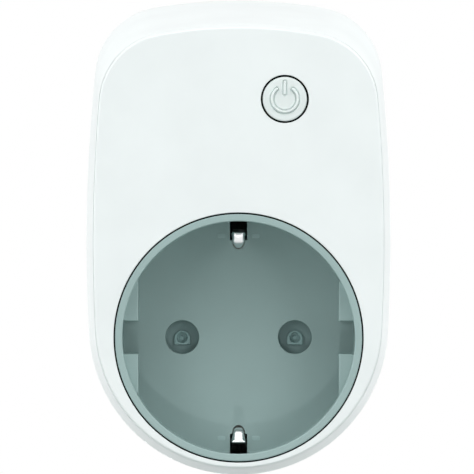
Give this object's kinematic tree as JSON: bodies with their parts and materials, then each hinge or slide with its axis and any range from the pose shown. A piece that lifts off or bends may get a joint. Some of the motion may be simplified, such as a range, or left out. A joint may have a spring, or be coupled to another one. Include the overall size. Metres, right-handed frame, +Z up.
{
  "type": "smart plug",
  "caption": "White through-type smart plug: earthed socket with grey recess in front, round power button above it, earthed round-pin plug behind.",
  "frame": {"origin": "middle of the plug's end face, between the two pins", "axes": "+Y along the pins, out of the plug end; +Z up along the body's long side; +X to the right seen from the front"},
  "size_m": [0.0516, 0.076, 0.0803],
  "materials": {
    "white_plastic": "fine satin moulding",
    "grey_plastic": "satin moulding",
    "shutter_plastic": "satin moulding",
    "carrier_plastic": "plain moulding",
    "spring_steel": "plain strip and wire",
    "nickel_plate": "nickel plated brass",
    "brass_sheet": "stamped sheet",
    "zinc_screw": "zinc plated",
    "shield_can": "tinned sheet",
    "board_laminate": "green solder mask",
    "black_plastic": "plain moulding",
    "blue_coating": "dipped or moulded",
    "winding_tape": "film tape"
  },
  "bodies": {
    "housing": {"front_cover": "white_plastic", "rear_housing": "white_plastic", "socket_insert": "grey_plastic", "shutter_spring": "spring_steel", "contact_carrier": "carrier_plastic", "carrier_screw_left": "zinc_screw", "carrier_screw_right": "zinc_screw", "live_contact": "brass_sheet", "neutral_contact": "brass_sheet", "earth_bracket": "spring_steel", "earth_post": "nickel_plate", "plug_earth_frame": "nickel_plate", "earth_sleeve": "nickel_plate", "live_pin": "nickel_plate", "neutral_pin": "nickel_plate", "pin_carrier": "carrier_plastic", "live_in_bus": "brass_sheet", "live_out_bus": "brass_sheet", "neutral_bus": "brass_sheet", "main_board": "board_laminate", "relay_base": "black_plastic", "relay_case": "blue_coating", "transformer": "winding_tape", "capacitor": "black_plastic", "varistor": "blue_coating", "fuse_resistor": "carrier_plastic", "radio_board": "board_laminate", "radio_shield": "shield_can", "tact_switch_body": "black_plastic", "housing_screw_1": "zinc_screw", "housing_screw_2": "zinc_screw", "housing_screw_3": "zinc_screw", "housing_screw_4": "zinc_screw"},
    "button": {"button_cap": "white_plastic"},
    "plunger": {"tact_switch_plunger": "carrier_plastic"},
    "shutter": {"shutter_slider": "shutter_plastic"}
  },
  "joints": [
    {"name": "button_press", "type": "slide", "parent": "housing", "child": "button", "axis": [0, 1, 0], "range_m": [0, 0.0007], "stiffness_N_per_m": 1500, "springref_m": -0.0005},
    {"name": "switch_plunger", "type": "slide", "parent": "housing", "child": "plunger", "axis": [0, 1, 0], "range_m": [0, 0.0005]},
    {"name": "shutter_slide", "type": "slide", "parent": "housing", "child": "shutter", "axis": [0, 0, 1], "range_m": [0, 0.0062], "stiffness_N_per_m": 150, "springref_m": -0.004, "deforming": ["shutter_spring"]}
  ],
  "couplings": [
    {"joint": "switch_plunger", "follows": "button_press", "ratio": 0.714}
  ]
}
